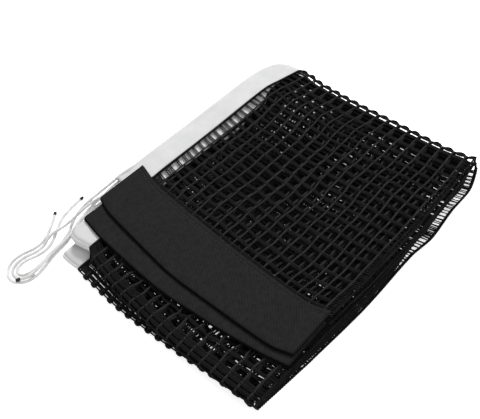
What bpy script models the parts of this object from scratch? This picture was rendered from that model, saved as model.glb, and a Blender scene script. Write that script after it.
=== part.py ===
"""Folded replacement net for table tennis: black knitted net, white top tape with two draw
cords, and a woven post sleeve at each end.

The net is folded in half across its length, so its two halves, a and b, lie face to face with
their post sleeves together.  That double strip is then folded in a zigzag into four panels,
which lie on each other.  Panel 4 is the lowest, panel 1 the highest.

Units are metres.  +X runs from the sleeve end to the far folds, +Y from the hem to the top
tape, and +Z is up.  The origin is the bottom centre of the folded net, without its cord tails.
"""
import math

import bmesh
import bpy
from mathutils import Matrix, Vector

MM = 0.001

# The folded net
NET_HEIGHT = 152.5 * MM
FOLDED_LENGTH = 201.0 * MM
PLY_THICKNESS = 1.4 * MM
PLY_PITCH = 1.7 * MM
GAP = 0.3 * MM
# Every ply, from the highest to the lowest, and how far it has slipped towards the hem side
PLIES = ("1a", "1b", "2b", "2a", "3a", "3b", "4b", "4a")
PLY_SLIP = tuple(slip * MM for slip in (0.0, 3.0, 7.0, 8.0, 8.5, 9.0, 9.5, 10.0))
RIGHT_FOLD_X = FOLDED_LENGTH / 2
LEFT_BEND_X = -FOLDED_LENGTH / 2
MIDDLE_FOLD_X = LEFT_BEND_X + 6.5 * MM

# The knitted net
MESH_THICKNESS = 1.1 * MM
HEM_WIDTH = 4.0 * MM
TUCK_LENGTH = 4.0 * MM
TUCK_THICKNESS = 0.4 * MM

# The top tape, folded over the net's upper edge, with its cords flat inside
TAPE_WIDTH = 16.0 * MM
TAPE_WALL = 0.3 * MM
CORD_DIAMETER = 1.8 * MM
FLAT_CORD_WIDTH = 3.2 * MM
FLAT_CORD_THICKNESS = 0.5 * MM
CORDS_IN_TAPE = 2

# The post sleeves: (outer edge x, hem end y, length, turn about +Z in degrees)
SLEEVE_WIDTH = 32.0 * MM
SLEEVE_CLOTH = 0.45 * MM
SLEEVE_FOLD_WIDTH = 1.2 * MM
SLEEVE_SEAM_WIDTH = 3.0 * MM
SLEEVES = {
    "a": (-64.0 * MM, -69.0 * MM, 146.5 * MM, 0.0),
    "b": (-73.5 * MM, -70.5 * MM, 146.0 * MM, 3.0),
}
# The second ply starts clear of the corner of the turned sleeve
SLEEVE_B_CLEARANCE = 6.0 * MM

# The sealed ends of the cord tails
TIP_LENGTH = 2.4 * MM
TIP_DIAMETER = 2.0 * MM
TUBE_POINT_SPACING = 2.0 * CORD_DIAMETER
# One route for each tail, from the end of the tape to the tail's tip, in millimetres.  Tails 1
# and 2 leave the upper tape, 3 and 4 the one below it.  They run past the ends of the sleeves,
# come down to the ground and lie there in one long loose loop.
CORD_ROUTES = {
    "1": (
        (-32.4, 80.0, 12.4), (-41.0, 81.3, 12.0), (-51.0, 82.6, 10.6), (-60.0, 84.2, 8.2),
        (-68.5, 86.2, 5.2), (-76.5, 86.4, 2.6), (-83.0, 83.8, 1.2), (-88.3, 80.4, 1.0),
        (-94.0, 78.2, 1.0), (-100.0, 77.2, 1.0), (-106.0, 76.4, 1.0), (-112.0, 75.2, 1.0),
        (-117.0, 74.8, 1.0), (-121.3, 75.6, 1.0), (-124.0, 78.0, 1.0), (-123.8, 81.2, 1.0),
        (-121.0, 83.3, 1.0), (-116.2, 83.3, 1.0), (-110.5, 81.4, 1.0), (-105.0, 80.6, 1.0),
        (-100.0, 81.8, 1.0), (-95.0, 84.8, 1.0), (-90.0, 88.6, 1.0), (-83.0, 92.3, 1.0),
        (-75.0, 94.2, 1.0), (-68.6, 94.9, 1.0),
    ),
    "2": (
        (-32.4, 80.0, 10.2), (-41.0, 80.6, 9.8), (-51.0, 81.4, 8.4), (-60.0, 82.3, 6.0),
        (-68.5, 83.4, 3.0), (-76.0, 83.0, 1.1), (-82.5, 80.8, 1.0), (-88.0, 78.0, 1.0),
        (-94.0, 75.8, 1.0), (-100.0, 74.6, 1.0), (-106.0, 73.4, 1.0), (-112.0, 71.6, 1.0),
        (-118.5, 70.4, 1.0), (-124.8, 71.8, 1.0), (-128.8, 76.2, 1.0), (-129.2, 81.8, 1.0),
        (-126.2, 86.6, 1.0), (-121.0, 89.0, 1.0), (-115.0, 88.6, 1.0), (-109.0, 86.8, 1.0),
        (-103.0, 86.8, 1.0), (-98.0, 88.6, 1.0), (-93.0, 91.8, 1.0), (-88.5, 95.2, 1.0),
        (-86.2, 97.2, 1.0),
    ),
    "3": (
        (-39.8, 77.3, 8.0), (-48.0, 77.6, 7.6), (-56.0, 78.2, 6.8), (-64.0, 79.4, 5.6),
        (-71.5, 80.6, 4.2), (-78.5, 80.2, 3.1), (-85.0, 78.2, 3.0), (-91.0, 76.2, 3.1),
        (-97.0, 75.2, 3.1), (-104.0, 74.4, 3.0), (-110.0, 73.4, 2.9), (-116.0, 72.4, 2.9),
        (-121.6, 72.4, 2.9), (-125.6, 74.2, 2.9),
    ),
    "4": (
        (-39.8, 77.3, 10.2), (-48.0, 78.0, 9.9), (-56.0, 79.3, 9.2), (-64.0, 81.4, 8.2),
        (-72.0, 83.2, 6.4), (-79.0, 83.8, 4.8), (-85.0, 84.2, 3.6), (-90.0, 84.9, 3.0),
        (-94.8, 85.6, 3.0), (-99.5, 85.2, 2.1), (-104.0, 84.0, 1.0), (-109.5, 84.0, 1.0),
        (-115.0, 85.7, 1.0), (-120.5, 86.0, 1.0), (-125.2, 83.6, 1.0), (-126.7, 79.4, 1.0),
        (-124.8, 75.2, 1.0), (-120.8, 73.2, 1.0),
    ),
}

# Each fold's axis, as (x, z).  It is just outside the ends of the plies, and so high that an
# opened panel lies on the ground or above it.
FOLD_AXES = {
    "bottom_fold": (RIGHT_FOLD_X + GAP, 6.65 * MM),
    "middle_fold": (MIDDLE_FOLD_X - GAP, 8.35 * MM),
    "top_fold": (RIGHT_FOLD_X + GAP, 8.35 * MM),
}

# name: (red, green, blue), roughness
FINISHES = {
    "net_yarn": ((0.022, 0.022, 0.024), 0.75),
    "tape_weave": ((0.74, 0.74, 0.74), 0.70),
    "sleeve_twill": ((0.024, 0.024, 0.026), 0.85),
    "cord_braid": ((0.72, 0.72, 0.72), 0.65),
    "sealed_tip": ((0.030, 0.028, 0.026), 0.40),
    "plain_tip": ((0.66, 0.65, 0.63), 0.40),
}


def clear_scene():
    for obj in list(bpy.data.objects):
        bpy.data.objects.remove(obj, do_unlink=True)


def make_finishes():
    """One Principled material for each finish."""
    finishes = {}
    for name, (colour, roughness) in FINISHES.items():
        material = bpy.data.materials.new(name)
        material.use_nodes = True
        shader = material.node_tree.nodes["Principled BSDF"]
        shader.inputs["Base Color"].default_value = (*colour, 1.0)
        shader.inputs["Roughness"].default_value = roughness
        shader.inputs["Metallic"].default_value = 0.0
        finishes[name] = material
    return finishes


class Builder:
    """Makes the pieces, each in the part's collection and on its panel's axis."""

    def __init__(self):
        self.finishes = make_finishes()
        self.collection = bpy.data.collections.new("folded_table_tennis_net")
        bpy.context.scene.collection.children.link(self.collection)
        self.axes = {}

    def add_axis(self, panel, name, position, parent_panel):
        """An empty on a fold's axis, which carries the panel that turns about it."""
        empty = bpy.data.objects.new(name, None)
        empty.empty_display_size = 0.02
        self.collection.objects.link(empty)
        position = Vector(position)
        if parent_panel in self.axes:
            parent, parent_position = self.axes[parent_panel]
            empty.parent = parent
            empty.location = position - parent_position
        else:
            empty.location = position
        self.axes[panel] = (empty, position)

    def place(self, obj, position, panel, finish):
        """Put a piece at a world position, carried by its panel's axis."""
        self.collection.objects.link(obj)
        obj.data.materials.append(self.finishes[finish])
        position = Vector(position)
        if panel in self.axes:
            axis, axis_position = self.axes[panel]
            obj.parent = axis
            position = position - axis_position
        obj.location = position
        return obj

    def box(self, name, low, high, panel, finish, turn=0.0, pivot=None):
        """A plain box between two corners, which may be turned about +Z at a pivot."""
        low, high = Vector(low), Vector(high)
        centre = (low + high) / 2
        mesh = bpy.data.meshes.new(name)
        shape = bmesh.new()
        bmesh.ops.create_cube(shape, size=1.0)
        bmesh.ops.scale(shape, vec=high - low, verts=shape.verts)
        shape.to_mesh(mesh)
        shape.free()
        obj = bpy.data.objects.new(name, mesh)
        if turn:
            pivot = Vector((pivot[0], pivot[1], centre.z))
            centre = pivot + Matrix.Rotation(turn, 3, "Z") @ (centre - pivot)
            obj.rotation_euler = (0.0, 0.0, turn)
        return self.place(obj, centre, panel, finish)

    def outline_curve(self, name, points, length):
        """A flat closed outline, thickened to a length along its own normal."""
        curve = bpy.data.curves.new(name, "CURVE")
        curve.dimensions = "2D"
        curve.fill_mode = "BOTH"
        curve.extrude = length / 2
        spline = curve.splines.new("POLY")
        spline.points.add(len(points) - 1)
        for point, (across, up) in zip(spline.points, points):
            point.co = (across, up, 0.0, 1.0)
        spline.use_cyclic_u = True
        return bpy.data.objects.new(name, curve)

    def run_along_x(self, name, points, start, end, panel, finish):
        """A (y, z) outline that runs along X from start to end."""
        obj = self.outline_curve(name, points, end - start)
        obj.rotation_euler = (math.pi / 2, 0.0, math.pi / 2)
        return self.place(obj, ((start + end) / 2, 0.0, 0.0), panel, finish)

    def run_along_y(self, name, points, start, end, panel, finish):
        """An (x, z) outline that runs along Y from start to end."""
        obj = self.outline_curve(name, points, end - start)
        obj.rotation_euler = (math.pi / 2, 0.0, 0.0)
        return self.place(obj, (0.0, (start + end) / 2, 0.0), panel, finish)


def panel_of(ply):
    return "panel_" + ply[0]


def ply_bottom(ply):
    """Height of a ply's underside, counted from the lowest ply."""
    return (len(PLIES) - 1 - PLIES.index(ply)) * PLY_PITCH


def tape_edge_y(ply):
    """Outer edge of a ply's tape; the highest and lowest plies end equally far from y = 0."""
    return (NET_HEIGHT + max(PLY_SLIP)) / 2 - PLY_SLIP[PLIES.index(ply)]


def ply_span(ply):
    """Where a ply starts and ends along X."""
    if ply == "1a":
        return SLEEVES["a"][0] + SLEEVE_WIDTH + GAP, RIGHT_FOLD_X
    if ply == "1b":
        return SLEEVES["b"][0] + SLEEVE_WIDTH + SLEEVE_B_CLEARANCE, RIGHT_FOLD_X
    if ply in ("4a", "4b"):
        return LEFT_BEND_X + bend_radius() + GAP, RIGHT_FOLD_X
    return MIDDLE_FOLD_X, RIGHT_FOLD_X


def bend_radius():
    """Outer radius of the net's own middle bend, which joins plies 4a and 4b."""
    return (PLY_PITCH + PLY_THICKNESS) / 2


def net_outline(ply):
    """Section of the net: a thick hem, the thinner mesh, and the edge tucked into the tape."""
    bottom = ply_bottom(ply)
    hem = tape_edge_y(ply) - NET_HEIGHT
    tape = tape_edge_y(ply) - TAPE_WIDTH
    mid = bottom + PLY_THICKNESS / 2
    half_mesh = MESH_THICKNESS / 2
    half_tuck = TUCK_THICKNESS / 2
    # The lowest mesh lies on the ground for its whole width
    under = bottom if ply == PLIES[-1] else mid - half_mesh
    return (
        (hem, bottom),
        (hem + HEM_WIDTH, bottom),
        (hem + HEM_WIDTH, under),
        (tape - GAP, under),
        (tape - GAP, mid - half_tuck),
        (tape + TUCK_LENGTH, mid - half_tuck),
        (tape + TUCK_LENGTH, mid + half_tuck),
        (tape - GAP, mid + half_tuck),
        (tape - GAP, mid + half_mesh),
        (hem + HEM_WIDTH, mid + half_mesh),
        (hem + HEM_WIDTH, bottom + PLY_THICKNESS),
        (hem, bottom + PLY_THICKNESS),
    )


def without_repeats(points):
    """An outline without a point that lies on the one before it."""
    return tuple(p for p, before in zip(points, points[-1:] + points[:-1]) if p != before)


def tape_outline(ply):
    """Section of the tape: folded at its outer edge and open towards the net."""
    bottom = ply_bottom(ply)
    top = bottom + PLY_THICKNESS
    outer = tape_edge_y(ply)
    inner = outer - TAPE_WIDTH
    return (
        (inner, bottom),
        (outer, bottom),
        (outer, top),
        (inner, top),
        (inner, top - TAPE_WALL),
        (outer - TAPE_WALL, top - TAPE_WALL),
        (outer - TAPE_WALL, bottom + TAPE_WALL),
        (inner, bottom + TAPE_WALL),
    )


def build_ply(builder, ply):
    """One ply: its net, its length of tape and the cords that run flat inside the tape."""
    start, end = ply_span(ply)
    panel = panel_of(ply)
    builder.run_along_x(
        f"net_panel_{ply}", without_repeats(net_outline(ply)), start, end, panel, "net_yarn"
    )
    builder.run_along_x(f"top_tape_{ply}", tape_outline(ply), start, end, panel, "tape_weave")
    mid = ply_bottom(ply) + PLY_THICKNESS / 2
    for cord in range(CORDS_IN_TAPE):
        outer = tape_edge_y(ply) - TAPE_WALL - GAP - cord * (FLAT_CORD_WIDTH + GAP)
        builder.box(
            f"tape_cord_{ply}_{cord + 1}",
            (start, outer - FLAT_CORD_WIDTH, mid - FLAT_CORD_THICKNESS / 2),
            (end, outer, mid + FLAT_CORD_THICKNESS / 2),
            panel,
            "cord_braid",
        )


def half_ring(outer, inner, centre_x, centre_z, steps=10):
    """Outline of a half ring that bulges towards -X."""
    points = []
    for radius, way in ((outer, 1), (inner, -1)):
        for step in range(steps + 1)[::way]:
            angle = math.pi / 2 + math.pi * step / steps
            points.append(
                (centre_x + radius * math.cos(angle), centre_z + radius * math.sin(angle))
            )
    return points


def build_middle_bend(builder):
    """The bend halfway along the net, where half a meets half b at the left of panel 4."""
    outer = bend_radius()
    centre = (LEFT_BEND_X + outer, outer)
    tape_edge = tape_edge_y("4a")
    tape = tape_edge - TAPE_WIDTH
    net_ring = half_ring(outer, outer - MESH_THICKNESS, *centre)
    tape_ring = half_ring(outer, outer - PLY_THICKNESS, *centre)
    builder.run_along_y(
        "net_middle_bend", net_ring, tape_edge - NET_HEIGHT, tape - GAP, "panel_4", "net_yarn"
    )
    builder.run_along_y(
        "tape_middle_bend", tape_ring, tape, tape_edge, "panel_4", "tape_weave"
    )


def build_sleeve(builder, half):
    """A flat tube of cloth for the post: two faces, the folded edge and the sewn edge."""
    left, low_y, length, turn_degrees = SLEEVES[half]
    bottom = ply_bottom("1" + half)
    top = bottom + PLY_THICKNESS
    right = left + SLEEVE_WIDTH
    face_left = left + SLEEVE_FOLD_WIDTH + GAP
    face_right = right - SLEEVE_SEAM_WIDTH - GAP
    strips = {
        "front": (face_left, face_right, top - SLEEVE_CLOTH, top),
        "back": (face_left, face_right, bottom, bottom + SLEEVE_CLOTH),
        "fold": (left, left + SLEEVE_FOLD_WIDTH, bottom, top),
        "seam": (right - SLEEVE_SEAM_WIDTH, right, bottom, top),
    }
    pivot = ((left + right) / 2, low_y + length / 2)
    for name, (x0, x1, z0, z1) in strips.items():
        builder.box(
            f"post_sleeve_{half}_{name}",
            (x0, low_y, z0),
            (x1, low_y + length, z1),
            "panel_1",
            "sleeve_twill",
            turn=math.radians(turn_degrees),
            pivot=pivot,
        )


def smooth_route(points, spacing):
    """Points evenly spaced along a Catmull-Rom curve through a route's own points."""
    knots = [Vector(p) * MM for p in points]
    knots = [2 * knots[0] - knots[1], *knots, 2 * knots[-1] - knots[-2]]
    fine = []
    steps = 16
    for a, b, c, d in zip(knots, knots[1:], knots[2:], knots[3:]):
        for step in range(steps):
            t = step / steps
            fine.append(
                0.5 * (
                    2 * b
                    + (c - a) * t
                    + (2 * a - 5 * b + 4 * c - d) * t ** 2
                    + (3 * b - 3 * c + d - a) * t ** 3
                )
            )
    fine.append(knots[-2])
    travelled = [0.0]
    for before, after in zip(fine, fine[1:]):
        travelled.append(travelled[-1] + (after - before).length)
    count = max(2, round(travelled[-1] / spacing) + 1)
    even = []
    segment = 0
    for index in range(count):
        distance = travelled[-1] * index / (count - 1)
        while segment < len(fine) - 2 and travelled[segment + 1] < distance:
            segment += 1
        share = (distance - travelled[segment]) / (travelled[segment + 1] - travelled[segment])
        even.append(fine[segment].lerp(fine[segment + 1], min(share, 1.0)))
    return even


def build_cord_tail(builder, name, route, tip_finish):
    """A free tail of cord, and the sealed tip just past its end."""
    points = smooth_route(route, TUBE_POINT_SPACING)
    curve = bpy.data.curves.new(f"cord_tail_{name}", "CURVE")
    curve.dimensions = "3D"
    curve.bevel_depth = CORD_DIAMETER / 2
    curve.bevel_resolution = 2
    curve.use_fill_caps = True
    spline = curve.splines.new("POLY")
    spline.points.add(len(points) - 1)
    for target, point in zip(spline.points, points):
        target.co = (*point, 1.0)
    tail = bpy.data.objects.new(f"cord_tail_{name}", curve)
    builder.place(tail, (0.0, 0.0, 0.0), "panel_1", "cord_braid")

    along = (points[-1] - points[-2]).normalized()
    mesh = bpy.data.meshes.new(f"cord_tip_{name}")
    shape = bmesh.new()
    bmesh.ops.create_cone(
        shape,
        cap_ends=True,
        segments=12,
        radius1=TIP_DIAMETER / 2,
        radius2=TIP_DIAMETER / 2 * 0.7,
        depth=TIP_LENGTH,
    )
    shape.to_mesh(mesh)
    shape.free()
    tip = bpy.data.objects.new(f"cord_tip_{name}", mesh)
    tip.rotation_euler = along.to_track_quat("Z", "Y").to_euler()
    centre = points[-1] + along * (GAP + TIP_LENGTH / 2)
    builder.place(tip, centre, "panel_1", tip_finish)


def main():
    clear_scene()
    builder = Builder()
    parents = {"panel_3": "panel_4", "panel_2": "panel_3", "panel_1": "panel_2"}
    for (panel, parent), (fold, (x, z)) in zip(parents.items(), FOLD_AXES.items()):
        builder.add_axis(panel, fold + "_axis", (x, 0.0, z), parent)
    for ply in PLIES:
        build_ply(builder, ply)
    build_middle_bend(builder)
    for half in SLEEVES:
        build_sleeve(builder, half)
    for name, route in CORD_ROUTES.items():
        build_cord_tail(builder, name, route, "plain_tip" if name == "4" else "sealed_tip")
    bpy.context.view_layer.update()


main()
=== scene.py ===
"""Looks of the folded replacement net for table tennis: knitted black net, white woven tape with
two draw cords, and a black twill sleeve for the post at each end.

Every ply of net is knitted thread by thread on a curved surface, the plies are joined round the
folds by arcs of the same threads, and every piece rides on a panel, except the arcs between two
panels, which are baked where they lie.
"""
import math

import bpy
import numpy as np
from mathutils import Matrix, Vector


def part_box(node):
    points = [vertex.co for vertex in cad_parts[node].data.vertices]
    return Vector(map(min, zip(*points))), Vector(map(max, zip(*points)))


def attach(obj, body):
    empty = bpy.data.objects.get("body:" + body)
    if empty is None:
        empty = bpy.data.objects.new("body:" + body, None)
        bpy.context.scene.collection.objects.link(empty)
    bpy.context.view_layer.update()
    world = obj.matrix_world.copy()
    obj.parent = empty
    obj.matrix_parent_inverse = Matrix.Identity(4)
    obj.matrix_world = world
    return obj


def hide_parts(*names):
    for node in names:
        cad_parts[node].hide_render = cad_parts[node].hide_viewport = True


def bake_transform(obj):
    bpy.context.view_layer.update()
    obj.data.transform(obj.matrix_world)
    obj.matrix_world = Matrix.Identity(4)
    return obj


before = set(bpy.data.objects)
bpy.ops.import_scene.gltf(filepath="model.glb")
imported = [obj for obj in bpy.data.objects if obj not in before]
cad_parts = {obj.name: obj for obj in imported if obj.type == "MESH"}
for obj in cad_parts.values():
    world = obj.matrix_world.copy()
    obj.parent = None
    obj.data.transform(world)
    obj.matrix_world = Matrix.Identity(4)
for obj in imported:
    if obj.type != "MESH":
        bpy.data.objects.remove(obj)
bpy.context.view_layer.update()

MM = 0.001

# All sizes and places below are in millimetres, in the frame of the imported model.

# The photograph's view
CAMERA_PLACE = (-152.5, -132.75, 270.0)
CAMERA_RIGHT = (0.673, -0.738, -0.051)
CAMERA_BACK = (-0.419, -0.437, 0.796)
LENS = 42.75

# The studio: a floor and lamps, name: (place in metres, power in watts, diameter in metres)
FLOOR_REACH = 30.0
FLOOR_DROP = 0.0004
FLOOR_GLOW = 0.6
SKY_STRENGTH = 0.42
LAMPS = {
    "key": ((0.95, 0.85, 1.05), 27.0, 0.45),
    "fill": ((0.7, -0.5, 1.4), 12.0, 1.2),
    "low": ((-1.3, -0.3, 0.6), 7.0, 0.8),
}

# The folded net
NET_HEIGHT = 152.5
TAPE_WIDTH = 16.0
MESH_PITCH = 7.7
MESH_ROWS = 16
SELVEDGE_WIDTH = 2.2
LADDER_HEIGHT = 5.9
HEM_LADDER_HEIGHT = 4.2
HEM_STRAND_WIDTH = 1.5
RUNGS_PER_MESH = 3

# Threads: width and thickness
CHAIN = (1.2, 0.6)
LOOSE_CHAIN = (1.5, 0.6)
YARN = (0.96, 0.5)
LADDER_YARN = (0.92, 0.5)
RUNG = (0.75, 0.5)
EDGE_STRAND = (0.95, 0.62)
FOLD_YARN = (0.85, 0.85)
SEAM_THREAD = (0.36, 0.30)

CORD_DIAMETER = 1.8
TIP_LENGTH = 2.4
TIP_DIAMETER = 2.0
TIP_GAP = 0.3

# The cord tails' routes, as in the part's source
CORD_ROUTES = {
    "1": (
        (-32.4, 80.0, 12.4), (-41.0, 81.3, 12.0), (-51.0, 82.6, 10.6), (-60.0, 84.2, 8.2),
        (-68.5, 86.2, 5.2), (-76.5, 86.4, 2.6), (-83.0, 83.8, 1.2), (-88.3, 80.4, 1.0),
        (-94.0, 78.2, 1.0), (-100.0, 77.2, 1.0), (-106.0, 76.4, 1.0), (-112.0, 75.2, 1.0),
        (-117.0, 74.8, 1.0), (-121.3, 75.6, 1.0), (-124.0, 78.0, 1.0), (-123.8, 81.2, 1.0),
        (-121.0, 83.3, 1.0), (-116.2, 83.3, 1.0), (-110.5, 81.4, 1.0), (-105.0, 80.6, 1.0),
        (-100.0, 81.8, 1.0), (-95.0, 84.8, 1.0), (-90.0, 88.6, 1.0), (-83.0, 92.3, 1.0),
        (-75.0, 94.2, 1.0), (-68.6, 94.9, 1.0),
    ),
    "2": (
        (-32.4, 80.0, 10.2), (-41.0, 80.6, 9.8), (-51.0, 81.4, 8.4), (-60.0, 82.3, 6.0),
        (-68.5, 83.4, 3.0), (-76.0, 83.0, 1.1), (-82.5, 80.8, 1.0), (-88.0, 78.0, 1.0),
        (-94.0, 75.8, 1.0), (-100.0, 74.6, 1.0), (-106.0, 73.4, 1.0), (-112.0, 71.6, 1.0),
        (-118.5, 70.4, 1.0), (-124.8, 71.8, 1.0), (-128.8, 76.2, 1.0), (-129.2, 81.8, 1.0),
        (-126.2, 86.6, 1.0), (-121.0, 89.0, 1.0), (-115.0, 88.6, 1.0), (-109.0, 86.8, 1.0),
        (-103.0, 86.8, 1.0), (-98.0, 88.6, 1.0), (-93.0, 91.8, 1.0), (-88.5, 95.2, 1.0),
        (-86.2, 97.2, 1.0),
    ),
    "3": (
        (-39.8, 77.3, 8.0), (-48.0, 77.6, 7.6), (-56.0, 78.2, 6.8), (-64.0, 79.4, 5.6),
        (-71.5, 80.6, 4.2), (-78.5, 80.2, 3.1), (-85.0, 78.2, 3.0), (-91.0, 76.2, 3.1),
        (-97.0, 75.2, 3.1), (-104.0, 74.4, 3.0), (-110.0, 73.4, 2.9), (-116.0, 72.4, 2.9),
        (-121.6, 72.4, 2.9), (-125.6, 74.2, 2.9),
    ),
    "4": (
        (-39.8, 77.3, 10.2), (-48.0, 78.0, 9.9), (-56.0, 79.3, 9.2), (-64.0, 81.4, 8.2),
        (-72.0, 83.2, 6.4), (-79.0, 83.8, 4.8), (-85.0, 84.2, 3.6), (-90.0, 84.9, 3.0),
        (-94.8, 85.6, 3.0), (-99.5, 85.2, 2.1), (-104.0, 84.0, 1.0), (-109.5, 84.0, 1.0),
        (-115.0, 85.7, 1.0), (-120.5, 86.0, 1.0), (-125.2, 83.6, 1.0), (-126.7, 79.4, 1.0),
        (-124.8, 75.2, 1.0), (-120.8, 73.2, 1.0),
    ),
}


def add_object(name, data):
    obj = bpy.data.objects.new(name, data)
    bpy.context.scene.collection.objects.link(obj)
    return obj


# ==== Camera ====
def make_camera():
    data = bpy.data.cameras.new("camera")
    data.lens = LENS
    data.sensor_width = 36.0
    data.clip_start = 0.01
    camera = add_object("camera", data)
    back = Vector(CAMERA_BACK).normalized()
    right = Vector(CAMERA_RIGHT)
    right = (right - back * right.dot(back)).normalized()
    up = back.cross(right)
    turn = Matrix((right, up, back)).transposed().to_4x4()
    camera.matrix_world = Matrix.Translation(Vector(CAMERA_PLACE) * MM) @ turn
    bpy.context.scene.camera = camera


# ==== Materials ====
class Cloth:
    """A procedural fabric: its nodes work in millimetres, in the piece's own coordinates."""

    def __init__(self, name, roughness, sheen=0.0, coordinates="Object"):
        self.material = bpy.data.materials.new(name)
        self.material.use_nodes = True
        self.tree = self.material.node_tree
        self.shader = self.tree.nodes["Principled BSDF"]
        self.shader.inputs["Roughness"].default_value = roughness
        self.shader.inputs["Sheen Weight"].default_value = sheen
        self.shader.inputs["Specular IOR Level"].default_value = 0.05
        self.place = self.node("ShaderNodeTexCoord", {}).outputs[coordinates]
        self.scale = 1.0 / MM if coordinates == "Object" else 1.0
        self.relief = {}

    def node(self, kind, inputs, **settings):
        """A node with these settings and inputs, each a value or another node's output."""
        node = self.tree.nodes.new(kind)
        for name, value in settings.items():
            setattr(node, name, value)
        for name, value in inputs.items():
            if isinstance(value, bpy.types.NodeSocket):
                self.tree.links.new(value, node.inputs[name])
            else:
                node.inputs[name].default_value = value
        return node

    def mapped(self, turn=0.0):
        """Coordinates in millimetres, turned about Z."""
        inputs = {"Vector": self.place, "Scale": [self.scale] * 3}
        mapping = self.node("ShaderNodeMapping", inputs)
        inputs = {"Vector": mapping.outputs["Vector"], "Angle": turn}
        turned = self.node("ShaderNodeVectorRotate", inputs, rotation_type="Z_AXIS")
        return turned.outputs["Vector"]

    def bands(self, period, direction="X", turn=0.0, distortion=0.0):
        """Soft ridges that repeat every so many millimetres. Blender's own waves repeat every
        2 pi / 20 at scale 1."""
        inputs = {
            "Vector": self.mapped(turn), "Scale": 2.0 * math.pi / 20.0 / period,
            "Distortion": distortion, "Detail": 1.0,
        }
        return self.node("ShaderNodeTexWave", inputs, bands_direction=direction).outputs["Fac"]

    def noise(self, size, detail=3.0):
        """Soft spots, so many millimetres wide."""
        inputs = {"Vector": self.mapped(), "Scale": 1.0 / size, "Detail": detail}
        return self.node("ShaderNodeTexNoise", inputs).outputs["Fac"]

    def painted_edge_shade(self):
        """1 on the cloth's faces and falling to near 0 on its edges and sides: painted shade,
        darkening the cloth wherever it turns away from upright.
        """
        normal = self.node("ShaderNodeTexCoord", {}).outputs["Normal"]
        upright = self.node("ShaderNodeSeparateXYZ", {"Vector": normal}).outputs["Z"]
        return self.combine("POWER", self.combine("ABSOLUTE", upright, 0.0), 3.0)

    def combine(self, operation, first, second):
        inputs = {0: first, 1: second}
        return self.node("ShaderNodeMath", inputs, operation=operation).outputs["Value"]

    def colours(self, factor, *stops):
        """Base colour from a ramp of two (position, colour) stops."""
        ramp = self.node("ShaderNodeValToRGB", {"Fac": factor})
        for element, (position, colour) in zip(ramp.color_ramp.elements, stops):
            element.position = position
            element.color = (*colour, 1.0)
        self.tree.links.new(ramp.outputs["Color"], self.shader.inputs["Base Color"])

    def raise_by(self, height, distance):
        """Bump of that many millimetres, on top of what was there."""
        inputs = {"Height": height, "Distance": distance * MM, "Strength": 1.0, **self.relief}
        normal = self.node("ShaderNodeBump", inputs).outputs["Normal"]
        self.relief = {"Normal": normal}
        self.tree.links.new(normal, self.shader.inputs["Normal"])


def net_chain_material():
    cloth = Cloth("net_chain", roughness=0.8)
    loops = cloth.bands(1.1, "X", distortion=0.6)
    cloth.colours(
        cloth.combine("MULTIPLY", loops, cloth.noise(5.0)),
        (0.0, (0.011, 0.011, 0.011)), (0.6, (0.027, 0.027, 0.028)),
    )
    cloth.raise_by(loops, 0.12)
    return cloth.material


def net_yarn_material():
    cloth = Cloth("net_yarn", roughness=0.9)
    twist = cloth.bands(0.6, "Y", turn=0.5)
    cloth.colours(
        cloth.combine("MULTIPLY", twist, cloth.noise(4.0)),
        (0.0, (0.003, 0.003, 0.003)), (0.6, (0.014, 0.014, 0.014)),
    )
    cloth.raise_by(twist, 0.08)
    return cloth.material


def tape_material():
    """White tape, woven plain: weft ribs across it and finer warp along it."""
    cloth = Cloth("tape_weave", roughness=0.8, sheen=0.1)
    weft = cloth.bands(0.55, "X")
    warp = cloth.bands(0.42, "Y", distortion=0.4)
    weave = cloth.combine("MULTIPLY", weft, warp)
    mottle = cloth.noise(9.0)
    cloth.colours(
        cloth.combine("ADD", cloth.combine("MULTIPLY", weave, 0.35),
                      cloth.combine("MULTIPLY", mottle, 0.65)),
        (0.15, (0.455, 0.455, 0.46)), (0.75, (0.555, 0.555, 0.555)),
    )
    cloth.raise_by(weave, 0.06)
    return cloth.material


def sleeve_material():
    """Black twill: fine diagonal ridges, a little lint, and painted shade on its edges and sides.
    """
    cloth = Cloth("sleeve_twill", roughness=0.95)
    ridges = cloth.bands(0.75, "X", turn=math.radians(52.0), distortion=1.5)
    thread = cloth.bands(0.5, "Y")
    lint = cloth.noise(2.2, detail=6.0)
    pattern = cloth.combine("ADD", cloth.combine("MULTIPLY", ridges, 0.45),
                            cloth.combine("MULTIPLY", lint, 0.55))
    cloth.colours(
        # The colour falls to near black where the cloth turns down at its edges: painted shade.
        cloth.combine("MULTIPLY", pattern, cloth.painted_edge_shade()),
        (0.0, (0.001, 0.001, 0.001)), (0.75, (0.020, 0.020, 0.0205)),
    )
    cloth.raise_by(ridges, 0.06)
    cloth.raise_by(thread, 0.03)
    cloth.raise_by(cloth.noise(0.8, detail=4.0), 0.12)
    return cloth.material


def stitch_material():
    cloth = Cloth("seam_thread", roughness=0.6, sheen=0.2)
    cloth.colours(
        cloth.noise(0.8), (0.3, (0.010, 0.010, 0.010)), (0.7, (0.030, 0.030, 0.031))
    )
    cloth.raise_by(cloth.bands(0.5, "Y", turn=0.6), 0.05)
    return cloth.material


def painted_shadow_strip_material():
    """Near-black strip along the underside of the sleeves' left edges: painted shadow for the dark
    gap under each edge.
    """
    cloth = Cloth("painted_shadow_strip", roughness=1.0)
    cloth.colours(
        cloth.noise(1.5), (0.3, (0.0008, 0.0008, 0.0008)), (0.7, (0.003, 0.003, 0.003))
    )
    cloth.raise_by(cloth.bands(0.6, "Y"), 0.05)
    return cloth.material


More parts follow.
